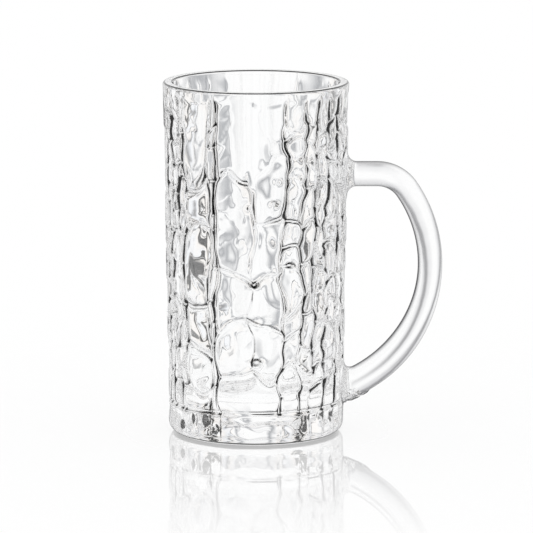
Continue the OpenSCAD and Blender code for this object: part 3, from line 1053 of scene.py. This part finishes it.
def pit_shade(sheet, stops):
    """Painted shade: greys for glass that is turned sideways or up from the plain wall, as on the flanks of a
    pit.
    """
    normal = sheet.geometry("Normal")
    turned = sheet.parts(sheet.vector("CROSS_PRODUCT", normal, plain_normal(sheet)))["Z"]
    steep = sheet.math("MAXIMUM", sheet.math("ABSOLUTE", turned), sheet.parts(normal)["Z"])
    return sheet.entering(steep, stops)


def crease_shade(sheet, stops):
    """Painted shade: greys for glass that stands steep to the plain wall, as in the bark's creases and at
    rounded edges.
    """
    along = sheet.vector("DOT_PRODUCT", sheet.geometry("Normal"), plain_normal(sheet))
    return sheet.entering(sheet.math("SUBTRACT", 1.0, sheet.math("ABSOLUTE", along)), stops)


def clear_glass(name, look, fineness, height, edges=None, creases=None, pits=None, calm=0, rough=0, inner=0):
    """Clear fire-polished glass with faint waves in its skin.

    Where light enters it, painted shade darkens its colour at grazing angles, by edges, and on steep places,
    by creases and pits; at the outermost grazing edge a nearly black matte sheet is mixed in as painted
    shade.
    """
    material = bpy.data.materials.new(name)
    sheet = NodeSheet(material)
    place = sheet.add("ShaderNodeTexCoord").outputs["Object"]
    skin = sheet.noise(place, fineness, 2)
    bump = sheet.add("ShaderNodeBump", {"Strength": 1, "Distance": height, "Height": skin}).outputs["Normal"]
    glass = sheet.add(
        "ShaderNodeBsdfPrincipled",
        {
            "Base Color": (*look.tint, 1),
            "Transmission Weight": 1,
            "IOR": look.ior,
            "Roughness": rough,
            "Normal": calmed(sheet, bump, calm) if calm else bump,
        },
    )
    if not edges:
        sheet.finish(glass.outputs[0])
        return material
    start, middle, end = edges
    grazing = sheet.add("ShaderNodeLayerWeight", {"Blend": 0.5, "Normal": bump}).outputs["Facing"]
    facing = sheet.where_entering(grazing)
    # Painted shade on the handle's side towards the cup begins earlier
    if inner:
        outward = sheet.vector("DOT_PRODUCT", sheet.geometry("Normal"), plain_normal(sheet))
        facing = sheet.math("SUBTRACT", facing, sheet.math("MULTIPLY", outward, inner))
    # Painted shade in the glass's colour: darker at grazing angles, in creases and on the flanks of pits
    shade = sheet.ramp(facing, ((start, look.tint), (middle, HALF_DARK), (end, NEARLY_BLACK)))
    if creases:
        shade = sheet.times(shade, crease_shade(sheet, creases))
    if pits:
        shade = sheet.times(shade, pit_shade(sheet, pits))
    sheet.tree.links.new(shade, glass.inputs["Base Color"])
    # Painted shade: a nearly black matte sheet mixed over the glass at its outermost grazing edge
    dark = sheet.add("ShaderNodeBsdfDiffuse", {"Color": PAINTED_EDGE_SHADE_COLOUR}).outputs[0]
    painted_edge_shade_share = sheet.ramp(facing, ((middle, (0, 0, 0)), (end + EDGE_SPAN, (EDGE_SHARE,) * 3)))
    sheet.finish(sheet.mix_surfaces(painted_edge_shade_share, glass.outputs[0], dark))
    return material


def weld(name):
    """The fused joint between cup and handle, which nothing shows of because the glass is one there."""
    material = bpy.data.materials.new(name)
    sheet = NodeSheet(material)
    sheet.finish(sheet.add("ShaderNodeBsdfTransparent").outputs[0])
    return material


def tent_light(sheet, way):
    """The tent's colour that way, and 1 for light in glass. Its dark bands are seen in glass only."""
    parts = sheet.parts(way)
    across = sheet.math("ABSOLUTE", parts["X"])
    along = sheet.math("ABSOLUTE", parts["Y"])
    turn = sheet.math("ARCTAN2", along, across)
    bend = sheet.math("SUBTRACT", sheet.noise(way, BAND_BEND_SCALE, 1), 0.5)
    bent = sheet.math("ADD", turn, sheet.math("MULTIPLY", bend, BAND_BEND))
    phase = sheet.math("FRACT", sheet.math("DIVIDE", bent, BAND_TURN))
    step = sheet.math("SUBTRACT", 0.5, sheet.math("ABSOLUTE", sheet.math("SUBTRACT", phase, 0.5)))
    rise = sheet.math("MULTIPLY_ADD", parts["Z"], 0.5, 0.5)
    sharp = sheet.times(sheet.ramp(step, BAND_COLOURS), sheet.ramp(rise, LEVEL_COLOURS))
    soft = sheet.times(sheet.ramp(step, SOFT_BAND_COLOURS), sheet.ramp(rise, SOFT_LEVEL_COLOURS))
    path = sheet.add("ShaderNodeLightPath").outputs
    bands = sheet.mix(path["Is Singular Ray"], soft, sharp, data_type="RGBA")
    through = sheet.math("GREATER_THAN", path["Transmission Depth"], 0.5)
    clear = sheet.math("LESS_THAN", path["Diffuse Depth"], 0.5)
    in_glass = sheet.math("MULTIPLY", through, clear)
    return sheet.mix(in_glass, WHITE, bands, data_type="RGBA"), in_glass


def studio_floor(name):
    """White polished acrylic. Light in glass sees the tent's bands on it too, but not close to the mug."""
    material = bpy.data.materials.new(name)
    sheet = NodeSheet(material)
    place = sheet.geometry("Position")
    way = sheet.vector("NORMALIZE", sheet.vector("SUBTRACT", place, (0, 0, BAND_EYE)))
    reach = sheet.vector("LENGTH", place)
    light, in_glass = tent_light(sheet, way)
    bands = sheet.mix(sheet.fade(reach, FLOOR_BANDS, (0, 1)), WHITE, light, data_type="RGBA")
    matte = sheet.add("ShaderNodeBsdfDiffuse", {"Color": (*(1 - FLOOR_GLOW,) * 3, 1)}).outputs[0]
    glow = sheet.add("ShaderNodeEmission", {"Strength": FLOOR_GLOW}).outputs[0]
    lit = sheet.add("ShaderNodeAddShader", {0: matte, 1: glow}).outputs[0]
    gloss = sheet.add("ShaderNodeBsdfGlossy", {"Color": WHITE, "Roughness": FLOOR_ROUGHNESS}).outputs[0]
    polished = sheet.mix_surfaces(sheet.fade(reach, FLOOR_GLOSS, GLOSS_SHARES), lit, gloss)
    seen_in_glass = sheet.add("ShaderNodeEmission", {"Color": bands}).outputs[0]
    sheet.finish(sheet.mix_surfaces(in_glass, polished, seen_in_glass))
    return material


def light_tent(world):
    """A white light tent, with dark upright bands round it that only light in glass can reach."""
    sheet = NodeSheet(world)
    way = sheet.add("ShaderNodeTexCoord").outputs["Generated"]
    colour, _ = tent_light(sheet, way)
    light = sheet.add("ShaderNodeBackground", {"Color": colour}).outputs[0]
    sheet.finish(light, "ShaderNodeOutputWorld")


# Operators


class MUG_OT_cup(bpy.types.Operator):
    """Make the cup with its bark relief, thick foot and rounded lip"""

    bl_idname = "mug.cup"
    bl_label = "Cup"

    def execute(self, context):
        scene = context.scene
        cup = scene.mug_cup
        ends = Bow(cup, scene.mug_handle).rings(HANDLE_SIDES, 2, 3)
        roots = [RootOutline(cup, ring) for ring in (ends[0], ends[-1])]
        rings, first_row, inside = cup_rings(cup, scene.mug_bark, roots)
        piece, quads = lay_mesh("cup", rings, (0, 0, cup.punt_depth), (0, 0, cup.floor_thickness))
        for material in self.finishes(scene.mug_glass):
            piece.data.materials.append(material)
        around = rings.shape[1]
        under_roots = np.zeros(len(rings) * around, bool)
        under_roots[first_row * around :][: inside.size] = inside.ravel()
        slots = np.full(len(piece.data.polygons), BORE_SLOT, np.int32)
        last_row = first_row + len(inside)
        bark = slice(first_row * around, last_row * around)
        slots[bark] = np.where(under_roots[quads[bark]].all(axis=1), WELD_SLOT, BARK_SLOT)
        foot_end = first_row + FOOT_ROUNDING_ROWS + FOOT_BAND_ROWS
        slots[first_row * around : foot_end * around] = FOOT_SLOT
        lip_start = last_row - RIM_ROWS - LIP_ROWS + 1
        slots[lip_start * around : (last_row + LIP_ROWS) * around] = LIP_SLOT
        piece.data.polygons.foreach_set("material_index", slots)
        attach(piece, "root")
        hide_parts("body")
        return {"FINISHED"}

    def finishes(self, look):
        """The cup's materials, in the order of their slots."""
        ripple = look.ripple
        return (
            clear_glass("cup glass", look, BARK_WAVES, ripple, BARK_EDGES, BARK_CREASES, calm=BARK_CALM),
            weld("fused weld of the cup"),
            clear_glass("bore glass", look, PLAIN_WAVES, ripple),
            clear_glass("lip glass", look, PLAIN_WAVES, ripple, LIP_EDGES, LIP_CREASES),
            clear_glass("foot glass", look, PLAIN_WAVES, ripple, FOOT_EDGES, FOOT_CREASES, FOOT_PITS),
        )


class MUG_OT_handle(bpy.types.Operator):
    """Draw the handle from its upper root to its lower one"""

    bl_idname = "mug.handle"
    bl_label = "Handle"

    def execute(self, context):
        scene = context.scene
        bow = Bow(scene.mug_cup, scene.mug_handle)
        rings = bow.rings(HANDLE_SIDES, HANDLE_FILLET_RINGS, HANDLE_LONG_RINGS)
        start, end = rings[0].mean(axis=0), rings[-1].mean(axis=0)
        piece, quads = lay_mesh("drawn_handle", rings, start, end)
        look = scene.mug_glass
        drawn = {"rough": HANDLE_ROUGHNESS, "inner": HANDLE_INNER}
        for material in (
            clear_glass("handle glass", look, PLAIN_WAVES, look.handle_ripple, HANDLE_EDGES, **drawn),
            weld("fused weld of the handle"),
            clear_glass("pressed glass", look, PLAIN_WAVES, look.ripple, PRESSED_EDGES),
        ):
            piece.data.materials.append(material)
        pressed = bow.wedge(round_angles(HANDLE_SIDES), np.array(rings)) > 0
        slots = np.ones(len(piece.data.polygons), np.int32)
        slots[: len(quads)] = 2 * pressed.ravel()[quads].all(axis=1)
        piece.data.polygons.foreach_set("material_index", slots)
        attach(piece, "root")
        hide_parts("handle")
        return {"FINISHED"}


class MUG_OT_stage(bpy.types.Operator):
    """Set up the white studio floor, the light tent with its dark bands, and the camera"""

    bl_idname = "mug.stage"
    bl_label = "Studio"

    def execute(self, context):
        scene = context.scene
        self.lay_floor(scene.mug_stage.floor_radius)
        scene.world = bpy.data.worlds.new("light tent")
        light_tent(scene.world)
        self.place_camera(scene, scene.mug_stage)
        scene.view_settings.view_transform = "Standard"
        scene.cycles.max_bounces = GLASS_BOUNCES
        scene.cycles.transmission_bounces = GLASS_BOUNCES
        scene.cycles.glossy_bounces = GLOSS_BOUNCES
        return {"FINISHED"}

    def lay_floor(self, radius):
        angles = [2 * math.pi * step / FLOOR_SIDES for step in range(FLOOR_SIDES)]
        rim = [(radius * math.cos(angle), radius * math.sin(angle), -FLOOR_DROP) for angle in angles]
        mesh = bpy.data.meshes.new("studio_floor")
        mesh.from_pydata(rim, [], [list(range(FLOOR_SIDES))])
        floor = bpy.data.objects.new("studio_floor", mesh)
        floor.data.materials.append(studio_floor("white acrylic"))
        bpy.context.collection.objects.link(floor)

    def place_camera(self, scene, stage):
        camera = bpy.data.cameras.new("camera")
        camera.lens = stage.lens
        camera.clip_end = CAMERA_REACH
        holder = bpy.data.objects.new("camera", camera)
        bpy.context.collection.objects.link(holder)
        holder.location = (stage.aim_side, -stage.camera_distance, stage.camera_height)
        aim = Vector((stage.aim_side, 0, stage.aim_height)) - holder.location
        holder.rotation_euler = aim.to_track_quat("-Z", "Y").to_euler()
        scene.camera = holder


class MUG_PT_sidebar(bpy.types.Panel):
    """Lists the mug's sizes and steps"""

    bl_label = "Beer Mug"
    bl_space_type = "VIEW_3D"
    bl_region_type = "UI"
    bl_category = "Beer Mug"

    def draw(self, context):
        for group, operator in STEPS:
            box = self.layout.box()
            sizes = getattr(context.scene, group)
            for name in sizes.__annotations__:
                box.prop(sizes, name)
            if operator:
                box.operator(operator)


GROUPS = {
    "mug_cup": CupSizes,
    "mug_bark": BarkSizes,
    "mug_handle": HandleSizes,
    "mug_glass": GlassLook,
    "mug_stage": StageLook,
}
STEPS = (
    ("mug_cup", ""),
    ("mug_bark", "mug.cup"),
    ("mug_handle", "mug.handle"),
    ("mug_glass", ""),
    ("mug_stage", "mug.stage"),
)
CLASSES = (*GROUPS.values(), MUG_OT_cup, MUG_OT_handle, MUG_OT_stage, MUG_PT_sidebar)


def register():
    for made in CLASSES:
        bpy.utils.register_class(made)
    for name, group in GROUPS.items():
        setattr(bpy.types.Scene, name, PointerProperty(type=group))


def unregister():
    for name in GROUPS:
        delattr(bpy.types.Scene, name)
    for made in reversed(CLASSES):
        bpy.utils.unregister_class(made)


def main():
    register()
    bpy.ops.mug.stage()
    bpy.ops.mug.cup()
    bpy.ops.mug.handle()


if __name__ == "__main__":
    main()
